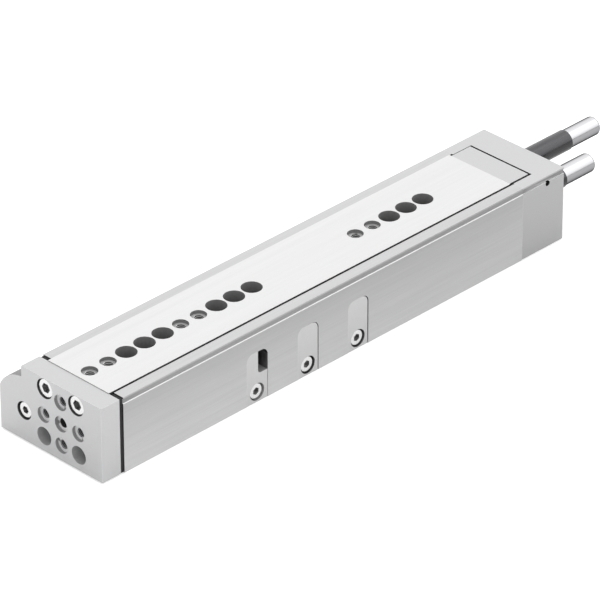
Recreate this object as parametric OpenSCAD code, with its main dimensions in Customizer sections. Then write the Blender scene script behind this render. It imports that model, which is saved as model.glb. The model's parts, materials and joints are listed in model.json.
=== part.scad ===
// Pneumatic slide table: a ball-guided table on an extruded housing, driven by a
// piston beside the guide, with an adjustable shock absorber at each end of the stroke.
// Millimetres. X is across, Y runs backwards from the yoke, Z is up.
// The origin is on the underside, below the slide's centre line, halfway along the housing.
// Distances called "behind the front" are counted backwards from the housing's front face.

/* [Stroke and hole grid] */
// Working stroke of the slide
stroke = 150; // [110:10:160]
// Pitch of every hole grid
pitch = 10; // [9.5:0.5:10.5]
// Depth of a centring sink for a sleeve
sink_h = 1.6; // [1:0.2:2.4]
// Bore of a centring sink
sink_d = 7; // [6:0.5:8]
// Drilled bore of an M5 thread
thread_d = 4.2; // [3.8:0.1:4.6]
// Depth of a blind M5 thread below its sink
thread_h = 7; // [5:0.5:8]
// Play of a mounting screw's head in the housing's floor
floor_head_play = 1.5; // [1:0.1:2]

/* [Housing] */
// Housing length beyond the stroke
guide_l = 80.4; // [80:0.2:100]
// Height of the housing
body_h = 35.1; // [34:0.1:36]
// From the slide's centre line to the plain side
plain_w = 23.5; // [23.2:0.1:26]
// From the slide's centre line to the cylinder side
cylinder_w = 35.5; // [34:0.1:37]
// From the slide's centre line to the step above the cylinder
step_w = 22.5; // [22:0.1:23]
// Height of the shallow groove along the plain side
band_h = 2.2; // [1.6:0.1:2.6]
// Height of the lip above the groove
band_lip = 0.7; // [0.4:0.1:1]
// Depth of the groove
band_t = 0.5; // [0.2:0.1:1]
// Height of the drive channel below the slide
channel_h = 11.3; // [10.6:0.1:12]
// From the centre line to the channel wall on the plain side
channel_w = 15.5; // [15:0.1:16]
// From the centre line to the channel wall on the cylinder side
channel_left_w = 14.5; // [12:0.5:15]
// Gap between the slide and the lip on the cylinder side
lip_gap_left = 0.25; // [0.2:0.05:0.8]
// Gap between the slide and the lip on the plain side
lip_gap_right = 0.8; // [0.2:0.1:1]

/* [Guide] */
// Thickness of each guide rail
rail_t = 4; // [3:0.1:4.4]
// Ball size
ball_d = 3; // [2.4:0.2:3.2]
// Spacing of the balls in a cage
ball_pitch = 4; // [3.8:0.2:6]
// Gap between the slide's web and a rail
guide_gap = 1.4; // [1.2:0.1:1.6]
// Thickness of a cage strip
cage_t = 1; // [0.6:0.1:1]
// Height of a cage strip
cage_h = 6; // [4.6:0.2:6.4]
// Length of a cage strip
cage_l = 76; // [50:1:76]
// Clearance of a ball in its grooves
ball_play = 0.05; // [0.03:0.01:0.1]

/* [Slide] */
// Width of the slide's top plate
slide_w = 35; // [34:0.2:35.2]
// Width of the slide's web between the rails
web_w = 31; // [30:0.2:31]
// Thickness of the slide at its middle
slide_t = 10.7; // [9:0.1:11]
// Thickness of the top plate beside the web
flange_t = 3.2; // [2.6:0.1:3.6]
// Height of the slide's top above the housing
proud = 0.3; // [0.1:0.1:0.6]
// Running gap between the slide and the rails below its flanges
slide_gap = 0.3; // [0.2:0.05:0.5]
// Bore of the access holes for the mounting screws
access_d = 9.1; // [8.8:0.1:9.4]
// Centre of the first hole behind the front
first_hole = 4.1; // [4:0.1:6]
// Thickness of the end plate behind the slide
end_plate_t = 11.9; // [11:0.1:13]
// How much narrower the end plate is than the slide on each side
end_inset = 0.8; // [0.4:0.1:1.2]
// Step down from the slide's top to the end plate and to the yoke
end_drop = 0.3; // [0.1:0.1:0.6]
// How far the slide stops short of the housing's rear face
slide_short = 1.7; // [1:0.1:3]

/* [Yoke] */
// Thickness of the yoke plate
yoke_t = 10; // [8:0.5:12]
// Gap between the yoke and the housing
yoke_gap = 2; // [1.8:0.1:3]
// Height of the yoke above the mounting surface
yoke_lift = 0.5; // [0.2:0.1:1]
// How far the thread pattern lies below the middle of the yoke
pattern_drop = 0.2; // [0:0.1:0.6]
// Bore of the plain locating holes
locating_d = 8.1; // [7:0.1:8.4]
// From the centre line to each yoke screw
yoke_screw_x = 9; // [8.6:0.1:10]
// Wall between a yoke screw's sunk head and the top of the yoke
yoke_rim = 0.5; // [0.3:0.1:1]
// Play of a yoke screw's head in its counterbore
head_play = 0.2; // [0.1:0.05:0.4]
// Size of the yoke screws
yoke_screw_d = 5; // [4:1:5]

/* [Cylinder] */
// Bore of the cylinder
bore_d = 16; // [14:1:16]
// Outer radius of the housing lobe round the cylinder
lobe_r = 15.5; // [15:0.1:16]
// Wall between the cylinder's bore and the housing's side
side_wall = 6.1; // [5.4:0.1:6.4]
// Wall between the cylinder's bore and the rail above it
roof_wall = 1.9; // [1.6:0.1:2.2]
// Wall between the cylinder and the drive channel
bore_wall = 2; // [1.6:0.1:2.4]
// Piston rod diameter
rod_d = 8; // [7:0.5:8]
// Piston length
piston_l = 14; // [14:0.5:15]
// Length of the bearing cap
bearing_cap_l = 38; // [30:1:38]
// Outer diameter of the rod bush
bush_d = 11; // [10:0.2:11.6]
// Thickness of the retaining ring
ring_t = 1; // [0.8:0.1:1.2]
// Length of the rear cylinder plug
plug_l = 6; // [5:0.5:7]
// Length of the plug's nose
nose_l = 5.4; // [5:0.2:6]
// Radial play of everything that fits in a round bore
fit = 0.05; // [0.02:0.01:0.08]
// Section of an O-ring
oring_d = 1.8; // [1.4:0.1:2]
// Front port behind the front face
front_port = 46; // [42:1:47]

/* [End cap and wiper] */
// Length of the end cap
cap_l = 25; // [24:0.5:30]
// Height of the end cap above the mounting surface
cap_lift = 0.4; // [0.2:0.1:1]
// Gap behind the slide's end plate
end_gap = 0.9; // [0.5:0.1:1.5]
// Gap round the end plate in the cap
cap_gap = 0.4; // [0.3:0.1:0.6]
// Gap beside the end plate's top on the cylinder side
cap_gap_left = 0.3; // [0.3:0.1:0.6]
// Gap beside the end plate's top on the plain side
cap_gap_right = 1.2; // [0.6:0.1:1.4]
// Side hole of the cap: diameter
cap_hole_d = 2.5; // [2:0.1:3]
// Side hole of the cap: behind the cap's front face
cap_hole_y = 15; // [13:0.5:18]
// Side hole of the cap: below its top
cap_hole_drop = 3.8; // [3.6:0.1:4.6]
// Size of the cap screws
cap_screw_d = 3; // [2.5:0.5:3]
// Thickness of the front wiper
wiper_t = 1.4; // [1:0.1:1.5]
// Inset of the wiper from the housing's outline
wiper_inset = 0.4; // [0.2:0.1:0.8]

/* [Stops and covers] */
// Middle of the first insert behind the front
insert_y = 73.8; // [70:0.1:76]
// Spacing of the inserts
insert_pitch = 29; // [20:1:29]
// Width of an insert
insert_w = 11.4; // [11:0.1:12]
// Gap behind an insert in its recess
insert_gap = 0.3; // [0.1:0.1:0.5]
// Wall between an insert's recess and the rail above it
insert_rim = 0.7; // [0.4:0.1:1.5]
// Corner radius of an insert
insert_r = 3.4; // [2:0.2:4]
// Thickness of an insert
insert_t = 6; // [5.6:0.1:6]
// How deep an insert's face lies below the housing's side
insert_sink = 0.1; // [0:0.1:0.6]
// How far the sight slot starts behind the stop's face
slot_step = 0.2; // [0.1:0.1:0.5]
// How far the sight slot reaches below the channel's floor
slot_drop = 0.2; // [0:0.1:1]
// Corner radius of the sight slot
slot_r = 1.6; // [0.5:0.1:2]
// Height of the insert screws
insert_screw_z = 4.8; // [4.3:0.1:5.5]
// Size of the insert screws and of the piston rod's screw
small_screw_d = 4; // [3:1:4]

/* [Shock absorbers] */
// From the centre line to each absorber
absorber_x = 10; // [9.6:0.1:10]
// Gap between a sleeve and the slide above it
absorber_gap = 0.3; // [0.3:0.1:1]
// Outer diameter of a sleeve
sleeve_d = 9.4; // [9:0.1:9.8]
// Outer diameter of an absorber
absorber_d = 8.6; // [8:0.1:8.8]
// Length of the advance sleeve
advance_sleeve_l = 43.3; // [40:0.1:50]
// Length of the retract sleeve
retract_sleeve_l = 52.2; // [40:0.1:60]
// How far an absorber stands out behind its sleeve
tail_l = 18.5; // [12:0.5:20]
// Radius of the rounded edge at an absorber's end
tail_r = 1.4; // [0.6:0.1:2]
// How far the advance sleeve stands out in front of the end plate
advance_reach = 4.2; // [4:0.1:6]
// Stroke of an absorber rod
cushion = 10; // [6:1:10]
// Diameter of an absorber rod
cushion_rod_d = 3; // [2.5:0.1:3.2]
// Diameter of a rod's plastic buffer
buffer_d = 5.5; // [4.5:0.1:5.6]
// Length of a rod's plastic buffer
buffer_l = 3; // [2:0.2:3.4]
// Gap left at each stop
stop_gap = 0.3; // [0.2:0.05:0.5]

/* [Hidden] */
$fn = 72;

cut = 1;  // how far a cutter runs past a face
screw_play = 0.5;  // clearance hole over its thread
head_sink = 0.7;  // a sunk head below its face
run_out = 2;  // a threaded hole runs on past its screw

// socket screws: head diameter, head height and socket size follow the thread
function head_d(d) = 1.5 * d + 1;
function head_h(d) = d;
function socket_af(d) = round(1.6 * d) / 2;

body_l = stroke + guide_l;
front_y = -body_l / 2;

// heights
slide_top = body_h + proud;
end_top = slide_top - end_drop;
flange_z = slide_top - flange_t;
slide_z = slide_top - slide_t;
rail_top = flange_z - slide_gap;
rail_h = slide_t - flange_t;
rail_z = rail_top - rail_h;
guide_z = rail_z + rail_h / 2;
band_z = body_h - band_lip - band_h;
floor_h = slide_z - channel_h;
absorber_z = slide_z - absorber_gap - sleeve_d / 2;
cap_hole_z = body_h - cap_hole_drop;
pattern_z = (yoke_lift + end_top) / 2 - pattern_drop;

// across
rail_x = web_w / 2 + guide_gap;
pocket_x = rail_x + rail_t;
ball_x = web_w / 2 + guide_gap / 2;
groove_d = ball_d + 2 * ball_play;
lip_left_x = slide_w / 2 + lip_gap_left;
lip_right_x = slide_w / 2 + lip_gap_right;
end_x = slide_w / 2 - end_inset;
bore_r = bore_d / 2;
bore_x = cylinder_w - side_wall - bore_r;
bore_z = rail_z - roof_wall - bore_r;
lobe_wall_r = bore_r + bore_wall;

// along, all behind the front of the housing
slide_rear = body_l - slide_short;
end_plate_rear = slide_rear + end_plate_t;
cap_rear = body_l + cap_l;
cap_pocket = end_plate_rear + end_gap;
yoke_front = -yoke_gap - yoke_t;
advance_face = slide_rear - advance_reach;
retract_face = end_plate_rear + stop_gap;
stop_face = advance_face - stroke - stop_gap;
buffer_play = 0.3;
lip_t = 0.6;
lip_l = buffer_l + lip_t;
rod_tail_l = 27;
cushion_rod_l = cushion + rod_tail_l;
damper_wall = 1.6;
damper_l = 4;
chamber_play = 0.1;
chamber_y = 4;
chamber_l = cushion_rod_l - lip_t;

// hole groups on the slide: two threads, then three access holes
group_y = [first_hole, first_hole + 5 * pitch, first_hole + stroke];
slide_threads = [for (g = group_y, i = [0, 1]) g + i * pitch];
access_holes = [for (g = group_y, i = [2, 3, 4]) g + i * pitch];
floor_screws = [for (g = group_y, i = [2, 4]) g + i * pitch];
floor_screw_d = 5;
floor_seat = floor_h - head_h(floor_screw_d) - screw_play;
base_pattern_y = 10 * pitch;

// inserts
inserts = [for (i = [0:2]) insert_y + i * insert_pitch];
recess_play = 0.1;
recess_top = rail_z - insert_rim;
insert_h = recess_top - recess_play;
recess_x = plain_w - insert_sink - insert_t;
insert_seat_x = plain_w - insert_sink - head_h(small_screw_d) - head_sink;
window_edge = 0.9;
window_half = (insert_w - window_edge) / 2;
window_low = floor_h + window_edge;
window_high = insert_h - window_edge;
nose_play = 0.2;
nose_reach = 1;
stop_extra = insert_gap - recess_play;
insert_head_play = 0.5;
slot_y = stop_face + slot_step;
slot_z = floor_h - slot_drop;

// cylinder
nose_d = 10;
piston_stop = 1;
nut_h = 4;
nut_af = 8;
spigot_d = 5;
plug_y = body_l - plug_l;
nut_rear = plug_y - nose_l - piston_stop;
piston_rear = nut_rear - nut_h;
piston_front = piston_rear - piston_l;
rear_port = plug_y - nose_l / 2;
ring_start = 1.05;
bearing_y = ring_start + ring_t;
bearing_rear = bearing_y + bearing_cap_l;
bush_start = 16;
bush_y = bearing_y + bush_start;
press = 0.02;
rod_play = 0.4;
seal_pocket_d = 13;
seal_pocket_l = 7.7;
oring_width = oring_d + 0.6;
oring_core_r = bore_r - fit - oring_d - 0.05;
oring_r = bore_r - fit - oring_d / 2;
bearing_oring_start = 11;
bearing_oring_y = bearing_y + bearing_oring_start;
ring_groove_t = 0.6;
ring_w = 2;
ring_mouth = 6;
plug_oring_y = plug_y + (plug_l - oring_width) / 2;
// piston grooves: start behind the piston's front, width, core radius
seal_grooves = [[1.2, 2, 5.8], [piston_l - 3.2, 2, 5.8]];
magnet_groove = [4.2, 3, 5.8];
magnet_sink = 0.3;
piston_play = 0.1;
guide_groove = [8.2, 1.6, 6.9];
sensor_slot_z = 5.5;
sensor_slot_d = 4.2;
sensor_mouth = 2.8;
sensor_axis_x = cylinder_w - 2.4;

// corner screws: in the middle of the lobe's wall, at an angle about the cylinder
lobe_mid_r = (bore_r + lobe_r) / 2;
wall_mid_x = (channel_w + plain_w) / 2;
function lobe_point(a) = [lobe_mid_r * cos(a) - bore_x, lobe_mid_r * sin(a) + bore_z];
cap_screw_l = 25;
cap_screw_bite = 6;
cap_screw_seat = body_l + cap_screw_l - cap_screw_bite;
cap_hole_l = 6;
lobe_low_angle = 230;
lobe_high_angle = 120;
low_screw_z = 5;
high_screw_z = rail_z - 1.5 * cap_screw_d;
cap_screws = [
    lobe_point(lobe_low_angle), lobe_point(lobe_high_angle),
    [wall_mid_x, low_screw_z], [wall_mid_x, high_screw_z]
];
end_screw_d = 4;
end_screw_l = 16;
end_screw_drop = 5.6;
end_screw_z = slide_top - end_screw_drop;
end_head_play = 0.3;
end_screw_x = yoke_screw_x;
end_plate_seat = end_plate_rear - head_h(end_screw_d) - head_sink;
yoke_screw_z = end_top - yoke_rim - head_play - head_d(yoke_screw_d) / 2;
yoke_screw_l = 20;
yoke_seat = yoke_front + head_h(yoke_screw_d) + head_sink;
rod_screw_l = 16;
rod_head_play = 0.55;
rod_seat = yoke_front + head_h(small_screw_d) + head_sink;
insert_screw_l = 12;
wiper_screw_d = 2.5;
wiper_screw_l = 5;
wiper_head_d = 4.5;
wiper_head_play = 0.3;
wiper_head_sink = 0.1;
wiper_floor = 0.4;
wiper_socket_d = 1.5;
wiper_socket_y = 0.7;
wiper_screws = [lobe_point(lobe_low_angle), [wall_mid_x, low_screw_z + head_d(cap_screw_d) / 2]];

// Places its children on the housing's front face
module at_front(x, y, z) {
    translate([x, front_y + y, z]) children();
}

// Extrudes a profile, drawn across and up, from a to b behind the front
module along(a, b) {
    at_front(0, b, 0) rotate([90, 0, 0]) linear_extrude(b - a) children();
}

// Round bar along the stroke
module bar_y(x, z, d, a, b) {
    at_front(x, b, z) rotate([90, 0, 0]) cylinder(d = d, h = b - a);
}

// Upright round bar
module bar_z(x, y, d, low, high) {
    at_front(x, y, low) cylinder(d = d, h = high - low);
}

// Round bar across the housing
module bar_x(y, z, d, left, right) {
    at_front(left, y, z) rotate([0, 90, 0]) cylinder(d = d, h = right - left);
}

// Round ring along the stroke
module ring_y(x, z, outer_r, inner_r, a, b) {
    difference() {
        bar_y(x, z, 2 * outer_r, a, b);
        bar_y(x, z, 2 * inner_r, a - cut, b + cut);
    }
}

// Block between two corners
module block(x, y, z) {
    at_front(x[0], y[0], z[0]) cube([x[1] - x[0], y[1] - y[0], z[1] - z[0]]);
}

// Socket head screw: head above the origin, shank below it
module socket_screw(d, l) {
    difference() {
        union() {
            cylinder(d = head_d(d), h = head_h(d));
            translate([0, 0, -l]) cylinder(d = d, h = l);
        }
        translate([0, 0, head_h(d) / 2])
            cylinder(d = socket_af(d) / cos(30), h = head_h(d), $fn = 6);
    }
}

// Screw with its head towards the yoke, towards the rear, or towards the plain side
module screw_front(x, y, z, d, l) {
    at_front(x, y, z) rotate([90, 0, 0]) socket_screw(d, l);
}

module screw_rear(x, y, z, d, l) {
    at_front(x, y, z) rotate([-90, 0, 0]) socket_screw(d, l);
}

module screw_side(x, y, z, d, l) {
    at_front(x, y, z) rotate([0, 90, 0]) socket_screw(d, l);
}

// Hole through the yoke for a screw whose head sinks into its front face
module screw_hole_front(x, seat, z, d, gap) {
    bar_y(x, z, d + screw_play, seat - cut, -yoke_gap + cut);
    bar_y(x, z, head_d(d) + 2 * gap, yoke_front - cut, seat);
}

// Outline shared by the housing, the yoke and the cap
module outline(inset, top, bottom) {
    translate([inset - cylinder_w, bottom])
        square([cylinder_w + plain_w - 2 * inset, bore_z - bottom]);
    translate([inset - step_w, bottom])
        square([step_w + plain_w - 2 * inset, top - bottom]);
    intersection() {
        translate([-bore_x, bore_z]) circle(r = lobe_r - inset);
        translate([inset - cylinder_w, bottom]) square([cylinder_w, body_h]);
    }
}

// Shallow groove below the top edge of the plain side
module side_band(a, b) {
    block([plain_w - band_t, plain_w + cut], [a, b], [band_z, band_z + band_h]);
}

// Space for the drive channel: flat floor, round wall round the cylinder
module channel_section(left, right, low, high, wall_r) {
    difference() {
        translate([-left, low]) square([left + right, high - low]);
        translate([-bore_x, bore_z]) circle(r = wall_r);
    }
}

// Section of the slide or its end plate: a wide flange over a web
module slide_section(half, top) {
    translate([-web_w / 2, slide_z]) square([web_w, top - slide_z]);
    translate([-half, flange_z]) square([2 * half, top - flange_z]);
}

// Recess for an insert, seen from the side: y across, z up
module insert_face(w, h, r) {
    translate([-w / 2, 0]) square([w, h - r]);
    translate([r - w / 2, h - 2 * r]) square([w - 2 * r, 2 * r]);
    for (side = [-1, 1])
        translate([side * (w / 2 - r), h - r]) circle(r = r);
}

// Extrudes a side view across the housing
module across(y, left, right) {
    at_front(left, y, 0) rotate([90, 0, 90]) linear_extrude(right - left) children();
}

module housing() {
    color("gainsboro") difference() {
        along(0, body_l) outline(0, body_h, 0);
        side_band(-cut, body_l + cut);
        block([-lip_left_x, lip_right_x], [-cut, body_l + cut], [rail_z + cut, body_h + cut]);
        block([-pocket_x, pocket_x], [-cut, body_l + cut], [rail_z, rail_top]);
        along(-cut, body_l + cut)
            channel_section(channel_left_w, channel_w, floor_h, rail_z + cut, lobe_wall_r);
        bar_y(-bore_x, bore_z, bore_d, -cut, body_l + cut);
        bar_y(-bore_x, bore_z, bore_d + 2 * ring_groove_t, ring_start - fit, bearing_y + fit);
        for (y = [front_port, rear_port])
            bar_x(y, bore_z, thread_d, -cylinder_w - cut, -bore_x);
        for (side = [-1, 1]) sensor_slot(bore_z + side * sensor_slot_z);
        for (y = floor_screws) {
            bar_z(0, y, floor_screw_d + screw_play, -cut, floor_h + cut);
            bar_z(0, y, head_d(floor_screw_d) + floor_head_play, floor_seat, floor_h + cut);
        }
        for (x = [-pitch, pitch], y = [-1, 1]) {
            bar_z(x, (body_l + y * base_pattern_y) / 2, thread_d, -cut, sink_h + thread_h);
            bar_z(x, (body_l + y * base_pattern_y) / 2, sink_d, -cut, sink_h);
        }
        for (y = inserts) insert_seat(y);
        for (p = cap_screws)
            bar_y(p[0], p[1], cap_screw_d + 2 * fit, cap_screw_seat - cap_screw_l - run_out, body_l + cut);
        for (p = wiper_screws)
            bar_y(p[0], p[1], wiper_screw_d + 2 * fit, -cut, wiper_screw_l + run_out);
    }
}

// T-shaped groove for a position sensor
module sensor_slot(z) {
    bar_y(-sensor_axis_x, z, sensor_slot_d, -cut, body_l + cut);
    block([-cylinder_w - cut, -sensor_axis_x], [-cut, body_l + cut],
          [z - sensor_mouth / 2, z + sensor_mouth / 2]);
}

// Recess, window and screw thread for one insert: the gap is behind the insert
module insert_seat(y) {
    recess_w = insert_w + recess_play + insert_gap;
    recess_y = y + (insert_gap - recess_play) / 2;
    across(recess_y, recess_x, plain_w + cut) insert_face(recess_w, recess_top, insert_r);
    block([recess_x, plain_w + cut], [recess_y - recess_w / 2, recess_y + recess_w / 2], [-cut, cut]);
    block([channel_w - cut, recess_x + cut], [y - window_half, y + window_half], [window_low, window_high]);
    bar_x(y, insert_screw_z, small_screw_d + 2 * fit,
          insert_seat_x - insert_screw_l - run_out, recess_x + cut);
}

module front_wiper() {
    color("dimgray") difference() {
        along(-wiper_t, 0) outline(wiper_inset, body_h - wiper_inset, wiper_inset);
        block([-lip_left_x, lip_right_x], [-wiper_t - cut, cut], [rail_z, body_h + cut]);
        bar_y(-bore_x, bore_z, rod_d + 2 * rod_play, -wiper_t - cut, cut);
        for (p = wiper_screws) {
            bar_y(p[0], p[1], wiper_screw_d + screw_play, -wiper_t - cut, cut);
            bar_y(p[0], p[1], wiper_head_d + wiper_head_play, -wiper_t - cut, -wiper_floor);
        }
    }
}

module wiper_screws() {
    color("silver") for (p = wiper_screws) difference() {
        union() {
            bar_y(p[0], p[1], wiper_head_d, wiper_head_sink - wiper_t, -wiper_floor);
            bar_y(p[0], p[1], wiper_screw_d, -wiper_floor, wiper_screw_l);
        }
        at_front(p[0], -wiper_socket_y, p[1]) rotate([90, 0, 0])
            cylinder(d = wiper_socket_d, h = wiper_t, $fn = 6);
    }
}

module end_cap() {
    color("lightgray") difference() {
        along(body_l, cap_rear) outline(0, body_h, cap_lift);
        side_band(body_l - cut, cap_rear + cut);
        block([-end_x - cap_gap_left, end_x + cap_gap_right], [body_l - cut, cap_pocket],
              [flange_z - cap_gap, body_h + cut]);
        block([-web_w / 2 - cap_gap, web_w / 2 + cap_gap], [body_l - cut, cap_pocket], [rail_z, body_h]);
        along(body_l - cut, cap_pocket)
            channel_section(channel_left_w, channel_w, floor_h, rail_z + cut, lobe_wall_r);
        bar_y(-absorber_x, absorber_z, sleeve_d + 2 * fit, body_l, cap_rear + cut);
        bar_y(absorber_x, absorber_z, sleeve_d + 2 * cap_gap, body_l, cap_rear + cut);
        bar_x(body_l + cap_hole_y, cap_hole_z, cap_hole_d, plain_w - cap_hole_l, plain_w + cut);
        for (p = cap_screws) {
            bar_y(p[0], p[1], cap_screw_d + screw_play, body_l - cut, cap_rear);
            bar_y(p[0], p[1], head_d(cap_screw_d) + screw_play, cap_screw_seat, cap_rear + cut);
        }
    }
}

module end_cap_screws() {
    color("silver") for (p = cap_screws)
        screw_rear(p[0], cap_screw_seat, p[1], cap_screw_d, cap_screw_l);
}

// Hardened strip with a round groove for the balls
module rail(side) {
    color("silver") difference() {
        at_front(side * (rail_x + rail_t / 2) - rail_t / 2, 0, rail_z) cube([rail_t, body_l, rail_h]);
        bar_y(side * ball_x, guide_z, groove_d, -cut, body_l + cut);
    }
}

module rail_left() { rail(-1); }
module rail_right() { rail(1); }

module bearing_cap() {
    color("lightsteelblue") difference() {
        bar_y(-bore_x, bore_z, bore_d - 2 * fit, bearing_y, bearing_rear);
        bar_y(-bore_x, bore_z, rod_d + 2 * rod_play, bearing_y - cut, bearing_rear);
        bar_y(-bore_x, bore_z, seal_pocket_d, bearing_y - cut, bearing_y + seal_pocket_l);
        bar_y(-bore_x, bore_z, bush_d, bush_y, bearing_rear + cut);
        ring_y(-bore_x, bore_z, bore_r + cut, oring_core_r, bearing_oring_y, bearing_oring_y + oring_width);
    }
}

module rod_bush() {
    color("peru")
        ring_y(-bore_x, bore_z, bush_d / 2 - press, rod_d / 2 + fit, bush_y, bearing_rear);
}

module rod_seal() {
    color("dimgray")
        ring_y(-bore_x, bore_z, seal_pocket_d / 2 - fit, rod_d / 2 + fit,
               bearing_y, bearing_y + seal_pocket_l);
}

// Round ring of round section
module oring(y) {
    at_front(-bore_x, y, bore_z) rotate([90, 0, 0])
        rotate_extrude() translate([oring_r, 0]) circle(d = oring_d);
}

module bearing_cap_oring() {
    color("black") oring(bearing_oring_y + oring_width / 2);
}

module plug_oring() {
    color("black") oring(plug_oring_y + oring_width / 2);
}

module retaining_ring() {
    color("silver") difference() {
        ring_y(-bore_x, bore_z, bore_r + ring_groove_t - 2 * fit, bore_r - ring_w,
               ring_start, ring_start + ring_t);
        block([-bore_x - ring_mouth / 2, -bore_x + ring_mouth / 2], [0, 2 * bearing_y], [0, bore_z]);
    }
}

module cylinder_plug() {
    color("lightsteelblue") difference() {
        union() {
            bar_y(-bore_x, bore_z, bore_d - 2 * fit, plug_y, body_l);
            bar_y(-bore_x, bore_z, nose_d, plug_y - nose_l, plug_y);
        }
        ring_y(-bore_x, bore_z, bore_r + cut, oring_core_r, plug_oring_y, plug_oring_y + oring_width);
    }
}

// Plate of an insert, with its screw hole; extra width goes to its rear
module insert_plate(y, extra) {
    difference() {
        across(y + extra / 2, recess_x, plain_w - insert_sink)
            insert_face(insert_w + extra, insert_h, insert_r);
        bar_x(y, insert_screw_z, small_screw_d + screw_play, recess_x - cut, plain_w);
        bar_x(y, insert_screw_z, head_d(small_screw_d) + 2 * insert_head_play, insert_seat_x, plain_w);
    }
}

module stop_insert() {
    rear = insert_y + insert_w / 2 + insert_gap + cut;
    color("silver") {
        difference() {
            insert_plate(insert_y, stop_extra);
            bar_x(slot_y + slot_r, slot_z + slot_r, 2 * slot_r, recess_x - cut, plain_w);
            block([recess_x - cut, plain_w], [slot_y + slot_r, rear], [slot_z, insert_h + cut]);
            block([recess_x - cut, plain_w], [slot_y, rear], [slot_z + slot_r, insert_h + cut]);
        }
        block([absorber_x - sleeve_d / 2 - nose_reach, recess_x],
              [insert_y - window_half + nose_play, stop_face],
              [window_low + nose_play, window_high - nose_play]);
    }
}

module middle_cover() { color("silver") insert_plate(inserts[1], 0); }
module rear_cover() { color("silver") insert_plate(inserts[2], 0); }

module insert_screws() {
    color("white") for (y = inserts)
        screw_side(insert_seat_x, y, insert_screw_z, small_screw_d, insert_screw_l);
}

module slide_table() {
    color("whitesmoke") difference() {
        along(-yoke_gap, slide_rear) slide_section(slide_w / 2, slide_top);
        for (side = [-1, 1])
            bar_y(side * ball_x, guide_z, groove_d, -yoke_gap - cut, slide_rear + cut);
        for (y = slide_threads) {
            bar_z(0, y, sink_d, slide_top - sink_h, slide_top + cut);
            bar_z(0, y, thread_d, slide_top - sink_h - thread_h, slide_top);
        }
        for (y = access_holes) bar_z(0, y, access_d, slide_z - cut, slide_top + cut);
        for (side = [-1, 1]) {
            bar_y(side * yoke_screw_x, yoke_screw_z, yoke_screw_d + 2 * fit,
                  -yoke_gap - cut, yoke_seat + yoke_screw_l + run_out);
            bar_y(side * end_screw_x, end_screw_z, end_screw_d + 2 * fit,
                  end_plate_seat - end_screw_l - run_out, slide_rear + cut);
        }
    }
}

module slide_end_plate() {
    color("lightgray") difference() {
        along(slide_rear, end_plate_rear) union() {
            slide_section(end_x, end_top);
            channel_section(channel_left_w - cap_gap, channel_w - cap_gap, floor_h + cap_gap,
                            slide_z + cut, lobe_wall_r + cap_gap);
        }
        bar_y(absorber_x, absorber_z, sleeve_d + 2 * fit, slide_rear - cut, end_plate_rear + cut);
        for (side = [-1, 1]) {
            bar_y(side * end_screw_x, end_screw_z, end_screw_d + screw_play,
                  slide_rear - cut, end_plate_rear);
            bar_y(side * end_screw_x, end_screw_z, head_d(end_screw_d) + 2 * end_head_play,
                  end_plate_seat, end_plate_rear + cut);
        }
    }
}

module end_plate_screws() {
    color("silver") for (side = [-1, 1])
        screw_rear(side * end_screw_x, end_plate_seat, end_screw_z, end_screw_d, end_screw_l);
}

// M5 hole with a centring sink in the yoke's front face
module yoke_thread(x, z) {
    bar_y(x, z, thread_d, yoke_front, -yoke_gap + cut);
    bar_y(x, z, sink_d, yoke_front - cut, yoke_front + sink_h);
}

module yoke_plate() {
    color("lightgray") difference() {
        along(yoke_front, -yoke_gap) outline(0, end_top, yoke_lift);
        yoke_thread(0, pattern_z);
        for (a = [0, 90, 180, 270]) yoke_thread(pitch * cos(a), pattern_z + pitch * sin(a));
        for (side = [-1, 1]) {
            bar_y(side * pitch, pattern_z - pitch, locating_d, yoke_front - cut, -yoke_gap + cut);
            screw_hole_front(side * yoke_screw_x, yoke_seat, yoke_screw_z, yoke_screw_d, head_play);
        }
        screw_hole_front(-bore_x, rod_seat, bore_z, small_screw_d, rod_head_play);
    }
}

module yoke_screws() {
    color("white") for (side = [-1, 1])
        screw_front(side * yoke_screw_x, yoke_seat, yoke_screw_z, yoke_screw_d, yoke_screw_l);
}

module rod_screw() {
    color("white") screw_front(-bore_x, rod_seat, bore_z, small_screw_d, rod_screw_l);
}

module piston_rod() {
    color("silver") difference() {
        union() {
            bar_y(-bore_x, bore_z, rod_d, -yoke_gap, piston_front);
            bar_y(-bore_x, bore_z, spigot_d, piston_front, nut_rear);
        }
        bar_y(-bore_x, bore_z, small_screw_d + 2 * fit, -yoke_gap - cut, rod_seat + rod_screw_l + run_out);
    }
}

// Groove round the piston: start, width, core radius
module piston_groove(g) {
    ring_y(-bore_x, bore_z, bore_r + cut, g[2], piston_front + g[0], piston_front + g[0] + g[1]);
}

// Ring that fills such a groove
module groove_ring(g, outer_r) {
    start = piston_front + g[0];
    ring_y(-bore_x, bore_z, outer_r, g[2] + fit, start + fit, start + g[1] - fit);
}

module piston() {
    color("lightsteelblue") difference() {
        bar_y(-bore_x, bore_z, bore_d - 2 * piston_play, piston_front, piston_rear);
        bar_y(-bore_x, bore_z, spigot_d + 2 * fit, piston_front - cut, piston_rear + cut);
        for (g = seal_grooves) piston_groove(g);
        piston_groove(magnet_groove);
        piston_groove(guide_groove);
    }
}

module piston_seals() {
    color("black") for (g = seal_grooves) groove_ring(g, bore_r - fit);
}

module piston_magnet() {
    color("dimgray") groove_ring(magnet_groove, bore_r - magnet_sink);
}

module piston_guide_ring() {
    color("ivory") groove_ring(guide_groove, bore_r - fit);
}

module piston_nut() {
    color("silver") difference() {
        at_front(-bore_x, nut_rear, bore_z) rotate([90, 0, 0])
            cylinder(d = nut_af / cos(30), h = nut_h, $fn = 6);
        bar_y(-bore_x, bore_z, spigot_d + 2 * fit, piston_rear - cut, nut_rear + cut);
    }
}

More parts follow.
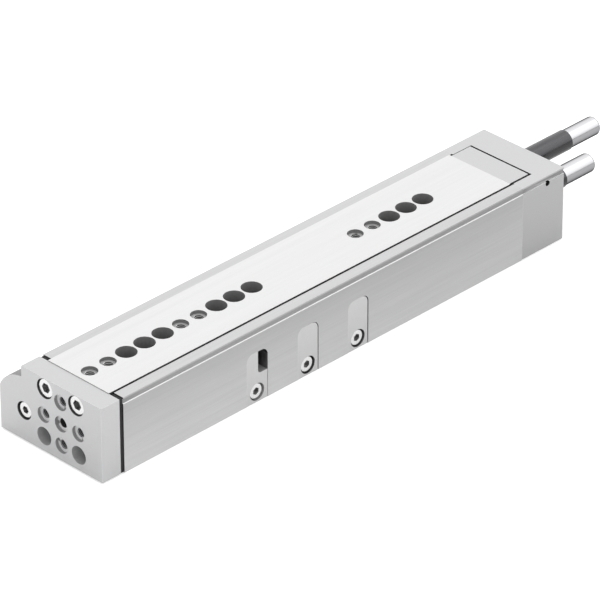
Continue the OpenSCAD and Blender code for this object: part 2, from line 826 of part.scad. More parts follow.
// Cages stand half the stroke back, so that they end inside the guide when it is out
cage_y = stroke / 2 + 1;
ball_count = floor((cage_l - ball_d) / ball_pitch);
first_ball = cage_y + (cage_l - (ball_count - 1) * ball_pitch) / 2;
ball_rows = [for (i = [0:ball_count - 1]) first_ball + i * ball_pitch];
pocket_play = 0.1;

module cage(side) {
    color("goldenrod") difference() {
        at_front(side * ball_x - cage_t / 2, cage_y, guide_z - cage_h / 2) cube([cage_t, cage_l, cage_h]);
        for (y = ball_rows)
            bar_x(y, guide_z, ball_d + 2 * pocket_play, side * ball_x - cage_t, side * ball_x + cage_t);
    }
}

module balls(side) {
    color("silver") for (y = ball_rows) at_front(side * ball_x, y, guide_z) sphere(d = ball_d, $fn = 24);
}

module cage_left() { cage(-1); }
module cage_right() { cage(1); }
module balls_left() { balls(-1); }
module balls_right() { balls(1); }

// Threaded sleeve with a small mouth that is the metal stop
module sleeve(x, face, l) {
    color("dimgray") difference() {
        bar_y(x, absorber_z, sleeve_d, face, face + l);
        bar_y(x, absorber_z, absorber_d + 2 * fit, face + lip_l, face + l + cut);
        bar_y(x, absorber_z, buffer_d + 2 * buffer_play, face - cut, face + l);
    }
}

// Absorber body: rounded at its rear end, bored for the damping rod
module absorber(x, face, l) {
    body = l - lip_l + tail_l;
    chamber_d = cushion_rod_d + 2 * (damper_wall + chamber_play);
    color("white") at_front(x, face + lip_l, absorber_z) rotate([-90, 0, 0]) difference() {
        rotate_extrude() {
            square([absorber_d / 2, body - tail_r]);
            square([absorber_d / 2 - tail_r, body]);
            translate([absorber_d / 2 - tail_r, body - tail_r]) intersection() {
                circle(r = tail_r);
                square(tail_r);
            }
        }
        translate([0, 0, -cut]) cylinder(d = cushion_rod_d + 2 * fit, h = body / 2);
        translate([0, 0, chamber_y]) cylinder(d = chamber_d, h = chamber_l);
    }
}

// Damping rod: tip is the front of its buffer
module cushion_rod(x, tip) {
    rear = tip + buffer_l + cushion_rod_l;
    color("silver") {
        bar_y(x, absorber_z, cushion_rod_d, tip + buffer_l, rear);
        ring_y(x, absorber_z, cushion_rod_d / 2 + damper_wall, cushion_rod_d / 2, rear - damper_l, rear);
    }
}

module cushion_buffer(x, tip) {
    color("ivory") bar_y(x, absorber_z, buffer_d, tip, tip + buffer_l);
}

module retract_sleeve() { sleeve(-absorber_x, retract_face, retract_sleeve_l); }
module retract_absorber() { absorber(-absorber_x, retract_face, retract_sleeve_l); }
module retract_rod() { cushion_rod(-absorber_x, retract_face); }
module retract_buffer() { cushion_buffer(-absorber_x, retract_face); }
module advance_sleeve() { sleeve(absorber_x, advance_face, advance_sleeve_l); }
module advance_absorber() { absorber(absorber_x, advance_face, advance_sleeve_l); }
module advance_rod() { cushion_rod(absorber_x, advance_face - cushion); }
module advance_buffer() { cushion_buffer(absorber_x, advance_face - cushion); }

housing();
front_wiper();
wiper_screws();
end_cap();
end_cap_screws();
rail_left();
rail_right();
bearing_cap();
rod_bush();
rod_seal();
bearing_cap_oring();
retaining_ring();
cylinder_plug();
plug_oring();
stop_insert();
middle_cover();
rear_cover();
insert_screws();
slide_table();
slide_end_plate();
end_plate_screws();
yoke_plate();
yoke_screws();
rod_screw();
piston_rod();
piston();
piston_seals();
piston_magnet();
piston_guide_ring();
piston_nut();
cage_left();
balls_left();
cage_right();
balls_right();
retract_sleeve();
retract_absorber();
retract_rod();
retract_buffer();
advance_sleeve();
advance_absorber();
advance_rod();
advance_buffer();
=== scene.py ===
import json
import math

import bmesh
import bpy
import numpy as np
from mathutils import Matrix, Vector
from mathutils.bvhtree import BVHTree


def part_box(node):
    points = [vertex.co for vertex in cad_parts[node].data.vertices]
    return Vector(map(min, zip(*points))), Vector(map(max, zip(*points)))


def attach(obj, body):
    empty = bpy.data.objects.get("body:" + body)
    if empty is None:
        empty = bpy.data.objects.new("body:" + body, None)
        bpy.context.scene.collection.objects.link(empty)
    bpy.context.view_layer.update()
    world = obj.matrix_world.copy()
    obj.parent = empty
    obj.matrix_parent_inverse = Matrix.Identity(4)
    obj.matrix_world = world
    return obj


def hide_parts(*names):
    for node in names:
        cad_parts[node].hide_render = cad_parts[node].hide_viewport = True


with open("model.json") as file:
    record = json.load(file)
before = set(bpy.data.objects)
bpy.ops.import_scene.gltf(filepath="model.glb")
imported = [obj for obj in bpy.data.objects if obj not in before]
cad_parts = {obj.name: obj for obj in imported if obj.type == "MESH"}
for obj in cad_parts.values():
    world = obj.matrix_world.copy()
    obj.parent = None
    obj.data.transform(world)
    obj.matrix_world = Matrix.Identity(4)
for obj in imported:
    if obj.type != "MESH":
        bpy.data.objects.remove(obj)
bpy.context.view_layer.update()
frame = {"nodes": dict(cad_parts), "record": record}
nodes = frame["nodes"]
mounts = {m["name"]: m for m in frame["record"]["mounts"]}
bodyOf = {n: body for body, members in frame["record"]["behaviour"]["bodies"].items() for n in members}
slotOf = {p["node"]: p["material_slot"] for p in frame["record"]["subparts"]}
mm = 0.001
print("frame loaded:", len(nodes), "nodes")

# where the camera stands: turned round the table and raised, in degrees, with a long lens
cameraView = {
    "azimuth": 44.91, "elevation": 31.21, "roll": -0.11,
    "distance": 2.2357, "aim": (0.0026, 0.0040, 0.0196),
    "lens": 328.29, "sensor": 36.0, "farClip": 50,
}


def makeCamera(view):
    a, e, r = (math.radians(view[k]) for k in ("azimuth", "elevation", "roll"))
    forward = Vector((-math.sin(a) * math.cos(e), math.cos(a) * math.cos(e), -math.sin(e)))
    data = bpy.data.cameras.new("mainCamera")
    data.lens = view["lens"]
    data.sensor_width = view["sensor"]
    data.clip_end = view["farClip"]
    camera = bpy.data.objects.new("mainCamera", data)
    bpy.context.scene.collection.objects.link(camera)
    camera.location = Vector(view["aim"]) - forward * view["distance"]
    camera.rotation_euler = forward.to_track_quat("-Z", "Y").to_euler()
    camera.rotation_euler.rotate_axis("Z", r)
    bpy.context.scene.camera = camera


# paper floor: it takes the table's shadow, and a little light of its own lifts it to white
floorLook = {"size": 12.0, "color": (0.93, 0.93, 0.93, 1), "roughness": 0.9, "specular": 0.1,
             "grainScale": 900.0, "bump": 0.02, "bumpDepth": 0.0002,
             "cameraLift": 0.42, "mirrorLift": 0.10}


def rayMask(tree):
    # light path sockets: seen by the camera, and seen in metal or glass
    path = tree.nodes.new("ShaderNodeLightPath")
    mirrored = tree.nodes.new("ShaderNodeMath")
    mirrored.operation = "MAXIMUM"
    tree.links.new(path.outputs["Is Glossy Ray"], mirrored.inputs[0])
    tree.links.new(path.outputs["Is Transmission Ray"], mirrored.inputs[1])
    return path.outputs["Is Camera Ray"], mirrored.outputs["Value"]


def makeFloor(look):
    half = look["size"] / 2
    mesh = bpy.data.meshes.new("floor")
    corners = [(-half, -half, 0), (half, -half, 0), (half, half, 0), (-half, half, 0)]
    mesh.from_pydata(corners, [], [(0, 1, 2, 3)])
    floor = bpy.data.objects.new("floor", mesh)
    bpy.context.scene.collection.objects.link(floor)
    material = bpy.data.materials.new("palePaper")
    material.use_nodes = True
    tree = material.node_tree
    new, link = tree.nodes.new, tree.links.new
    shader = tree.nodes["Principled BSDF"]
    shader.inputs["Base Color"].default_value = look["color"]
    shader.inputs["Roughness"].default_value = look["roughness"]
    shader.inputs["Specular IOR Level"].default_value = look["specular"]
    place = new("ShaderNodeTexCoord")
    grain = new("ShaderNodeTexNoise")
    grain.inputs["Scale"].default_value = look["grainScale"]
    bump = new("ShaderNodeBump")
    bump.inputs["Strength"].default_value = look["bump"]
    bump.inputs["Distance"].default_value = look["bumpDepth"]
    link(place.outputs["Object"], grain.inputs["Vector"])
    link(grain.outputs["Fac"], bump.inputs["Height"])
    link(bump.outputs["Normal"], shader.inputs["Normal"])
    seen, mirrored = rayMask(tree)
    cameraPart, mirrorPart = new("ShaderNodeMath"), new("ShaderNodeMath")
    cameraPart.operation, mirrorPart.operation = "MULTIPLY", "MULTIPLY_ADD"
    cameraPart.inputs[1].default_value = look["cameraLift"]
    mirrorPart.inputs[1].default_value = look["mirrorLift"]
    link(seen, cameraPart.inputs[0])
    link(mirrored, mirrorPart.inputs[0])
    link(cameraPart.outputs["Value"], mirrorPart.inputs[2])
    shader.inputs["Emission Color"].default_value = (1, 1, 1, 1)
    link(mirrorPart.outputs["Value"], shader.inputs["Emission Strength"])
    mesh.materials.append(material)


# studio light comes from the world alone, so it is even along the whole table
# room: what the top faces mirror; window: the bright band on round metal
# horizon: darker low down, which draws the edges of round metal
studio = {
    "level": 0.86,
    "roomGlow": 0.26, "roomSide": (-0.60, 0.61, 0.52), "roomSpread": (0.2, 0.95),
    "windowGlow": 0.42, "windowSide": (0.45, 0.55, 0.70), "windowSpread": (0.75, 0.97),
    "horizon": 0.42, "horizonHeight": 0.16,
}


def glow(tree, direction, side, spread, strength):
    new, link = tree.nodes.new, tree.links.new
    along = new("ShaderNodeVectorMath")
    along.operation = "DOT_PRODUCT"
    along.inputs[1].default_value = Vector(side).normalized()
    ramp = new("ShaderNodeMapRange")
    ramp.interpolation_type = "SMOOTHSTEP"
    ramp.inputs["From Min"].default_value, ramp.inputs["From Max"].default_value = spread
    ramp.inputs["To Max"].default_value = strength
    link(direction, along.inputs[0])
    link(along.outputs["Value"], ramp.inputs["Value"])
    return ramp.outputs["Result"]


def makeStudio(values):
    world = bpy.data.worlds.new("studio")
    bpy.context.scene.world = world
    world.use_nodes = True
    tree = world.node_tree
    new, link = tree.nodes.new, tree.links.new
    background = tree.nodes["Background"]
    direction = new("ShaderNodeTexCoord").outputs["Generated"]
    room = glow(tree, direction, values["roomSide"], values["roomSpread"], values["roomGlow"])
    window = glow(tree, direction, values["windowSide"], values["windowSpread"], values["windowGlow"])
    split = new("ShaderNodeSeparateXYZ")
    link(direction, split.inputs["Vector"])
    height = new("ShaderNodeMapRange")
    height.interpolation_type = "SMOOTHSTEP"
    height.inputs["From Min"].default_value = 0.0
    height.inputs["From Max"].default_value = values["horizonHeight"]
    height.inputs["To Min"].default_value = values["horizon"]
    height.inputs["To Max"].default_value = values["level"]
    link(split.outputs["Z"], height.inputs["Value"])
    total = height.outputs["Result"]
    for part in (room, window):
        adder = new("ShaderNodeMath")
        link(total, adder.inputs[0])
        link(part, adder.inputs[1])
        total = adder.outputs["Value"]
    seen, mirrored = rayMask(tree)
    white = new("ShaderNodeMix")
    link(seen, white.inputs["Factor"])
    link(total, white.inputs["A"])
    white.inputs["B"].default_value = 1.0
    link(white.outputs["Result"], background.inputs["Strength"])
    background.inputs["Color"].default_value = (1, 1, 1, 1)


makeCamera(cameraView)
makeFloor(floorLook)
makeStudio(studio)
bpy.context.scene.view_settings.view_transform = "Standard"
print("camera, floor and light made")


# grain: detail of the two noises, and how far their mean swings the tone
grainLook = {"fineDetail": 2.0, "broadDetail": 3.0, "swing": 5.0}

# painted shading by facing: heights and depths between which upright faces change, and how far up a face
# looks
paintedShadingRamps = {"height": (0.0, 0.034), "depth": (-0.11, 0.15), "level": (0.15, 0.7), "under": (0.32, 0.40)}

# wear on edges: how sharply it sets in as the rounded normal turns away, and the spots in it
wearLook = {"samples": 4, "slope": -5.0, "start": 4.95, "smoother": -0.35,
            "spotScale": 260.0, "spotDetail": 3.0, "spotDepth": 1.2, "spotBase": 0.2}

hollowRough = 0.2  # how much rougher a full hollow is


def addSocket(tree, label, kind, value, direction):
    socket = tree.interface.new_socket(name=label, in_out=direction, socket_type="NodeSocket" + kind)
    if value is not None:
        socket.default_value = value


def newGroup(name, takes, gives):
    # a shader group with named sockets, and its input and output nodes
    tree = bpy.data.node_groups.new(name, "ShaderNodeTree")
    for direction, sockets in (("INPUT", takes), ("OUTPUT", gives)):
        for label, kind, value in sockets:
            addSocket(tree, label, kind, value, direction)
    return tree, tree.nodes.new("NodeGroupInput").outputs, tree.nodes.new("NodeGroupOutput").inputs


def mathNode(tree, operation, *values):
    node = tree.nodes.new("ShaderNodeMath")
    node.operation = operation
    for socket, value in zip(node.inputs, values):
        if isinstance(value, (int, float)):
            socket.default_value = value
        else:
            tree.links.new(value, socket)
    return node.outputs["Value"]


def scaledColor(tree, color, factor):
    scale = tree.nodes.new("ShaderNodeVectorMath")
    scale.operation = "SCALE"
    tree.links.new(color, scale.inputs[0])
    tree.links.new(factor, scale.inputs["Scale"])
    return scale.outputs["Vector"]


def makeGrainGroup():
    # fine streaks and soft broad bands in one
    tree, takes, gives = newGroup(
        "metalGrain",
        [("Vector", "Vector", None), ("Fine Scale", "Float", 3000.0), ("Broad Scale", "Float", 500.0),
         ("Tone Depth", "Float", 0.1), ("Rough Base", "Float", 0.35), ("Rough Depth", "Float", 0.1),
         ("Base Color", "Color", (0.7, 0.7, 0.7, 1))],
        [("Color", "Color", None), ("Roughness", "Float", None), ("Height", "Float", None)])
    link = tree.links.new
    fine, broad = tree.nodes.new("ShaderNodeTexNoise"), tree.nodes.new("ShaderNodeTexNoise")
    for noise, size, detail in ((fine, "Fine Scale", "fineDetail"), (broad, "Broad Scale", "broadDetail")):
        noise.inputs["Detail"].default_value = grainLook[detail]
        link(takes["Vector"], noise.inputs["Vector"])
        link(takes[size], noise.inputs["Scale"])
    mean = mathNode(tree, "MULTIPLY", mathNode(tree, "ADD", fine.outputs["Fac"], broad.outputs["Fac"]), 0.5)
    swing = mathNode(tree, "MULTIPLY_ADD", mean, grainLook["swing"], -grainLook["swing"] / 2)
    tone = mathNode(tree, "MULTIPLY_ADD", swing, takes["Tone Depth"], 1.0)
    link(scaledColor(tree, takes["Base Color"], tone), gives["Color"])
    link(mathNode(tree, "MULTIPLY_ADD", swing, takes["Rough Depth"], takes["Rough Base"]), gives["Roughness"])
    link(mean, gives["Height"])
    return tree


def setRange(ramp, ends):
    ramp.inputs["From Min"].default_value, ramp.inputs["From Max"].default_value = ends


def makePaintedShadingGroup():
    # painted shade by facing: level faces keep their colour, upright faces are painted duller, and round
    # metal is painted darker from its side down
    tree, takes, gives = newGroup(
        "paintedFacetShading",
        [("Color", "Color", (0.7, 0.7, 0.7, 1)), ("Normal", "Vector", None), ("Vector", "Vector", None),
         ("Side Tone", "Float", 1.0), ("Low Tone", "Float", 1.0), ("High Tone", "Float", 1.0),
         ("Back Tone", "Float", 1.0), ("Under Tone", "Float", 1.0)],
        [("Color", "Color", None)])
    # upright faces also get a painted reflection that changes evenly from the foot to the top edge, and from
    # front to back
    place = tree.nodes.new("ShaderNodeSeparateXYZ")
    tree.links.new(takes["Vector"], place.inputs["Vector"])
    upward, backward = tree.nodes.new("ShaderNodeMapRange"), tree.nodes.new("ShaderNodeMapRange")
    for ramp, axis, ends in ((upward, "Z", "height"), (backward, "Y", "depth")):
        setRange(ramp, paintedShadingRamps[ends])
        tree.links.new(place.outputs[axis], ramp.inputs["Value"])
    tree.links.new(takes["Low Tone"], upward.inputs["To Min"])
    tree.links.new(takes["High Tone"], upward.inputs["To Max"])
    backward.inputs["To Min"].default_value = 1.0
    tree.links.new(takes["Back Tone"], backward.inputs["To Max"])
    side = mathNode(tree, "MULTIPLY", upward.outputs["Result"], backward.outputs["Result"])
    side = mathNode(tree, "MULTIPLY", side, takes["Side Tone"])
    split = tree.nodes.new("ShaderNodeSeparateXYZ")
    tree.links.new(takes["Normal"], split.inputs["Vector"])
    level = tree.nodes.new("ShaderNodeMapRange")
    level.interpolation_type = "SMOOTHSTEP"
    setRange(level, paintedShadingRamps["level"])
    tree.links.new(mathNode(tree, "ABSOLUTE", split.outputs["Z"]), level.inputs["Value"])
    tree.links.new(side, level.inputs["To Min"])
    under = tree.nodes.new("ShaderNodeMapRange")
    setRange(under, paintedShadingRamps["under"])
    tree.links.new(split.outputs["Z"], under.inputs["Value"])
    tree.links.new(takes["Under Tone"], under.inputs["To Min"])
    both = mathNode(tree, "MULTIPLY", level.outputs["Result"], under.outputs["Result"])
    tree.links.new(scaledColor(tree, takes["Color"], both), gives["Color"])
    return tree


def makeWearGroup():
    # broken edges are rubbed a little brighter and smoother
    tree, takes, gives = newGroup(
        "edgeWear",
        [("Color", "Color", (0.7, 0.7, 0.7, 1)), ("Roughness", "Float", 0.4), ("Vector", "Vector", None),
         ("Edge Width", "Float", 0.0003), ("Brighten", "Float", 0.3)],
        [("Color", "Color", None), ("Roughness", "Float", None)])
    link = tree.links.new
    rounded = tree.nodes.new("ShaderNodeBevel")
    rounded.samples = wearLook["samples"]
    link(takes["Edge Width"], rounded.inputs["Radius"])
    geometry = tree.nodes.new("ShaderNodeNewGeometry")
    facing = tree.nodes.new("ShaderNodeVectorMath")
    facing.operation = "DOT_PRODUCT"
    link(rounded.outputs["Normal"], facing.inputs[0])
    link(geometry.outputs["Normal"], facing.inputs[1])
    spots = tree.nodes.new("ShaderNodeTexNoise")
    spots.inputs["Scale"].default_value = wearLook["spotScale"]
    spots.inputs["Detail"].default_value = wearLook["spotDetail"]
    link(takes["Vector"], spots.inputs["Vector"])
    edge = mathNode(tree, "MULTIPLY_ADD", facing.outputs["Value"], wearLook["slope"], wearLook["start"])
    edge = mathNode(tree, "MINIMUM", mathNode(tree, "MAXIMUM", edge, 0.0), 1.0)
    depth, base = wearLook["spotDepth"], wearLook["spotBase"]
    spotted = mathNode(tree, "MULTIPLY_ADD", spots.outputs["Fac"], depth, base)
    edge = mathNode(tree, "MULTIPLY", edge, spotted)
    lift = mathNode(tree, "MULTIPLY_ADD", edge, takes["Brighten"], 1.0)
    link(scaledColor(tree, takes["Color"], lift), gives["Color"])
    smoother = mathNode(tree, "MULTIPLY_ADD", edge, wearLook["smoother"], 1.0)
    link(mathNode(tree, "MULTIPLY", takes["Roughness"], smoother), gives["Roughness"])
    return tree


def makeHollowGroup():
    # painted shade inside bores, pockets and gaps and between parts: the colour darkens with the mask, a mask
    # below zero paints a highlight, and the dull share takes metal away
    tree, takes, gives = newGroup(
        "hollowShade",
        [("Color", "Color", (0.7, 0.7, 0.7, 1)), ("Roughness", "Float", 0.4), ("Hollow", "Float", 0.0),
         ("Darken", "Float", 0.8), ("Dull", "Float", 0.0), ("Metallic", "Float", 1.0)],
        [("Color", "Color", None), ("Roughness", "Float", None), ("Metallic", "Float", None)])
    lost = mathNode(tree, "MULTIPLY", takes["Hollow"], takes["Darken"])
    tone = mathNode(tree, "SUBTRACT", 1.0, lost)
    rough = mathNode(tree, "MULTIPLY_ADD", takes["Hollow"], hollowRough, takes["Roughness"])
    bright = mathNode(tree, "SUBTRACT", 1.0, takes["Dull"])
    tree.links.new(scaledColor(tree, takes["Color"], tone), gives["Color"])
    tree.links.new(rough, gives["Roughness"])
    tree.links.new(mathNode(tree, "MULTIPLY", takes["Metallic"], bright), gives["Metallic"])
    return tree


groups = {
    "grain": makeGrainGroup(), "facetShading": makePaintedShadingGroup(),
    "wear": makeWearGroup(), "paintedShade": makeHollowGroup(),
}
print("shader groups made:", len(groups))

# stretch: how fast the grain changes across X, Y and Z; a small number is a long streak
# side, low, high, back and under: painted shading of upright faces, at their foot, top and rear end, and
# painted shade under round metal; each finish's painted shade in hollows darkens by its given share
finishes = {
    "brushed_housing": {"color": (0.63, 0.63, 0.632), "rough": 0.34, "roughDepth": 0.06,
                        "stretch": (1, 0.012, 1), "fine": 3200, "broad": 620, "tone": 0.07, "bump": 0.25,
                        "side": 0.86, "paintedShade": 0.9, "low": 1.32, "high": 0.88, "back": 0.88},
    "brushed_slide": {"color": (0.80, 0.80, 0.80), "rough": 0.36, "roughDepth": 0.05,
                      "stretch": (1, 0.012, 1), "fine": 3600, "broad": 500, "tone": 0.035, "bump": 0.15,
                      "paintedShade": 0.85},
    "matt_aluminium": {"color": (0.66, 0.66, 0.665), "rough": 0.46, "roughDepth": 0.05, "stretch": (1, 1, 1),
                       "fine": 5200, "broad": 900, "tone": 0.03, "bump": 0.25, "paintedShade": 0.8},
    # cap_aluminium: a copy of matt_aluminium, a little less rough, whose upright faces are painted darker
    # (painted shade), for the end cap alone
    "cap_aluminium": {"color": (0.66, 0.66, 0.665), "rough": 0.44, "roughDepth": 0.05, "stretch": (1, 1, 1),
                      "fine": 5200, "broad": 900, "tone": 0.03, "bump": 0.25, "side": 0.76, "paintedShade": 0.8},
    "insert_steel": {"color": (0.66, 0.66, 0.66), "rough": 0.42, "roughDepth": 0.05, "stretch": (1, 1, 0.2),
                     "fine": 3600, "broad": 700, "tone": 0.03, "bump": 0.15, "paintedShade": 0.85},
    "screw_steel": {"color": (0.93, 0.93, 0.93), "rough": 0.26, "roughDepth": 0.06, "stretch": (1, 1, 1),
                    "fine": 4200, "broad": 900, "tone": 0.03, "bump": 0.1, "paintedShade": 0.97},
    "ground_steel": {"color": (0.62, 0.62, 0.63), "rough": 0.22, "roughDepth": 0.05, "stretch": (1, 0.05, 1),
                     "fine": 4000, "broad": 800, "tone": 0.05, "bump": 0.1},
    "turned_aluminium": {"color": (0.70, 0.71, 0.73), "rough": 0.28, "roughDepth": 0.06,
                         "stretch": (0.05, 1, 0.05), "fine": 5000, "broad": 1400, "tone": 0.06, "bump": 0.2},
    "chromed_rod": {"color": (0.80, 0.80, 0.81), "rough": 0.1, "roughDepth": 0.03, "stretch": (1, 0.3, 1),
                    "fine": 3000, "broad": 300, "tone": 0.02, "bump": 0.03},
    # chromed_body's specular tint of 0 paints its edges dark at grazing angles, a painted dark reflection
    "chromed_body": {"color": (0.76, 0.76, 0.78), "rough": 0.13, "roughDepth": 0.03, "stretch": (1, 0.03, 1),
                     "fine": 3000, "broad": 400, "tone": 0.02, "bump": 0.03, "paintedShade": 0.8, "under": 0.55,
                     "edgeTint": 0.0},
    "dark_sleeve": {"color": (0.10, 0.10, 0.105), "rough": 0.26, "roughDepth": 0.08, "stretch": (1, 0.05, 1),
                    "fine": 3000, "broad": 500, "tone": 0.15, "bump": 0.2, "metallic": 0.9, "coat": 0.35,
                    "under": 0.45, "edgeTint": 0.9},
    # black_wiper colours front_wiper, a black plate on the housing's front face seen through the gap behind
    # the yoke: a dark sheet put where that gap has only shade
    "black_wiper": {"color": (0.012, 0.012, 0.013), "rough": 0.6, "roughDepth": 0.08, "stretch": (1, 1, 1),
                    "fine": 3800, "broad": 600, "tone": 0.2, "bump": 0.2, "metallic": 0.0, "wear": 0.0},
    "black_rubber": {"color": (0.018, 0.018, 0.018), "rough": 0.5, "roughDepth": 0.08, "stretch": (1, 1, 1),
                     "fine": 3200, "broad": 500, "tone": 0.2, "bump": 0.2, "metallic": 0.0, "wear": 0.0},
    "bronze": {"color": (0.50, 0.34, 0.17), "rough": 0.35, "roughDepth": 0.1, "stretch": (1, 1, 1),
               "fine": 6000, "broad": 1500, "tone": 0.15, "bump": 0.3},
    "cage_brass": {"color": (0.72, 0.55, 0.26), "rough": 0.3, "roughDepth": 0.06, "stretch": (1, 0.05, 1),
                   "fine": 3000, "broad": 700, "tone": 0.06, "bump": 0.1},
    "white_plastic": {"color": (0.80, 0.79, 0.75), "rough": 0.42, "roughDepth": 0.05, "stretch": (1, 1, 1),
                      "fine": 2500, "broad": 400, "tone": 0.03, "bump": 0.1, "metallic": 0.0, "wear": 0.0},
    "magnet": {"color": (0.06, 0.06, 0.065), "rough": 0.5, "roughDepth": 0.1, "stretch": (1, 1, 1),
               "fine": 4000, "broad": 900, "tone": 0.2, "bump": 0.3, "metallic": 0.3},
}
coatRough, bumpDepth = 0.15, 0.02  # of the clear coat, and of the grain in millimetres


def placeGroup(tree, name, **links):
    node = tree.nodes.new("ShaderNodeGroup")
    node.node_tree = groups[name]
    for label, value in links.items():
        socket = node.inputs[label.replace("_", " ")]
        if isinstance(value, (int, float, tuple)):
            socket.default_value = value
        else:
            tree.links.new(value, socket)
    return node.outputs


def makeFinish(name, look):
    material = bpy.data.materials.new(name)
    material.use_nodes = True
    tree = material.node_tree
    new, link = tree.nodes.new, tree.links.new
    shader = tree.nodes["Principled BSDF"]
    # the edge tint is the specular tint at grazing angles; below about 0.9 it paints grazing edges darker
    shader.inputs["Specular Tint"].default_value = (*[look.get("edgeTint", 0.9)] * 3, 1)
    shader.inputs["Coat Weight"].default_value = look.get("coat", 0.0)
    shader.inputs["Coat Roughness"].default_value = coatRough
    place, stretch = new("ShaderNodeTexCoord"), new("ShaderNodeMapping")
    stretch.inputs["Scale"].default_value = look["stretch"]
    link(place.outputs["Object"], stretch.inputs["Vector"])
    grain = placeGroup(tree, "grain", Vector=stretch.outputs["Vector"], Fine_Scale=look["fine"],
                       Broad_Scale=look["broad"], Tone_Depth=look["tone"], Rough_Base=look["rough"],
                       Rough_Depth=look["roughDepth"], Base_Color=(*look["color"], 1))
    facetShading = placeGroup(tree, "facetShading", Color=grain["Color"], Normal=place.outputs["Normal"],
                       Vector=place.outputs["Object"], Side_Tone=look.get("side", 1.0),
                       Low_Tone=look.get("low", 1.0), High_Tone=look.get("high", 1.0),
                       Back_Tone=look.get("back", 1.0), Under_Tone=look.get("under", 1.0))
    wear = placeGroup(tree, "wear", Color=facetShading["Color"], Roughness=grain["Roughness"],
                      Vector=place.outputs["Object"], Brighten=look.get("wear", 0.25))
    inside, bored = new("ShaderNodeAttribute"), new("ShaderNodeAttribute")
    inside.attribute_name, bored.attribute_name = "paintedShade", "dull"
    paintedShade = placeGroup(tree, "paintedShade", Color=wear["Color"], Roughness=wear["Roughness"],
                        Hollow=inside.outputs["Fac"], Darken=look.get("paintedShade", 0.8),
                        Dull=bored.outputs["Fac"], Metallic=look.get("metallic", 1.0))
    link(paintedShade["Metallic"], shader.inputs["Metallic"])
    link(paintedShade["Color"], shader.inputs["Base Color"])
    link(paintedShade["Roughness"], shader.inputs["Roughness"])
    bump = new("ShaderNodeBump")
    bump.inputs["Strength"].default_value = look["bump"]
    bump.inputs["Distance"].default_value = bumpDepth * mm
    link(grain["Height"], bump.inputs["Height"])
    link(bump.outputs["Normal"], shader.inputs["Normal"])
    return material


materials = {name: makeFinish(name, look) for name, look in finishes.items()}
for name, node in nodes.items():
    node.data.materials.clear()
    node.data.materials.append(materials[slotOf[name]])
print("materials made:", len(materials))

# painted shade in hollows: how far they reach, how many ways are tried from each corner of a face, the share
# of blocked ways that still counts as open, for faces that look up and for the others, and how much stronger
# the others' painted shade is on a piece with bores; then where each try starts: how far above the face, in
# millimetres, and what share of the way to its centre, on faces below an area and on the others
hollowLook = {"reach": 0.006, "ways": 18, "openUp": 0.6, "openSide": 0.28, "lookUp": 0.7, "gain": 1.7,
              "above": 0.03, "smallFace": 0.00004, "smallInset": 0.12, "inset": 0.01}

# bores: how dark their walls, the walls of small sinks and of thread holes, their shelves, turned faces and
# the groove's ledge are painted, as painted shade (below zero is a painted highlight), how dull the cut metal
# and the other shaded faces (flat) are, and the most that any painted shade darkens
insertBoreShade = {"wall": 0.8, "sink": 0.8, "thread": 0.8, "shelf": 0.6, "turned": 0.0, "dull": 0.0}
paintedBoreShade = {
    "slide_table": {"wall": 0.74, "sink": 0.82, "thread": 0.98, "shelf": 0.25, "turned": 0.0, "dull": 0.7},
    "yoke_plate": {"wall": 0.3, "sink": 0.62, "thread": 0.98, "shelf": -0.35, "turned": 0.55, "dull": 0.85},
    "housing": {"wall": 0.8, "sink": 0.8, "thread": 0.98, "shelf": 0.6, "turned": 0.0, "dull": 0.3,
                "ledge": -0.62},
    "end_cap": {"wall": 0.97, "sink": 0.97, "thread": 0.98, "shelf": 0.6, "turned": 0.0, "dull": 0.0,
                "ledge": -0.62},
    "stop_insert": {**insertBoreShade, "flat": 0.8, "most": 0.5},
    "middle_cover": insertBoreShade,
    "rear_cover": insertBoreShade,
}
plainBore = dict.fromkeys(insertBoreShade, 0.0)
threadRadius, sinkRadius = 0.0023, 0.0038  # bores narrower than these are thread holes, and small sinks
# walls this near a screw head get the thread holes' painted shade, for the gap round the head
headGap = 0.001  # a wall that faces something this near holds a screw head

# a round wall bends between these angles from strip to strip, and strips that bend less are one; areas are
# the largest of a strip and a shelf; a shelf has more sides than this, walls along this share of them, and
# a bend this sharp, in radians; slack is how far an edge's length may be from its face's
roundRules = {"least": math.radians(2), "most": math.radians(25), "level": math.radians(0.5),
              "wallArea": 0.0001, "shelfArea": 0.00005, "shelfSides": 12, "shelfShare": 0.7,
              "shelfBend": -1, "slack": 0.05}
# the groove's ledge, painted brighter as a painted highlight: how far in from the side and down from the top
# in millimetres, and how dull
ledgeZone = {"inward": 0.6, "down": 0.5, "dull": 0.5}
flatFrom = 0.3  # a face is shaded enough to be dulled from this value on
levelFrom = 0.9  # a face whose normal rises more than this lies level


def blockers(body):
    # what can cast painted shade on a piece: its own body's solids, and for a piece that stands still those
    # of the slide too
    points, faces = [], []
    for name, node in nodes.items():
        if bodyOf[name] != body and (body, bodyOf[name]) != ("housing", "slide"):
            continue
        start = len(points)
        points += [tuple(v.co) for v in node.data.vertices]
        faces += [tuple(start + i for i in p.vertices) for p in node.data.polygons]
    return BVHTree.FromPolygons(points, faces)


solidsOf = {body: blockers(body) for body in set(bodyOf.values())}


def wayFan(count):
    # directions over a half ball, denser near its pole, where they count more
    golden = math.pi * (3 - math.sqrt(5))
    fan = []
    for i in range(count):
        r = math.sqrt((i + 0.5) / count)
        rise = math.sqrt(max(0.0, 1 - r * r))
        fan.append(Vector((r * math.cos(i * golden), r * math.sin(i * golden), rise)))
    return fan


ways = wayFan(hollowLook["ways"])


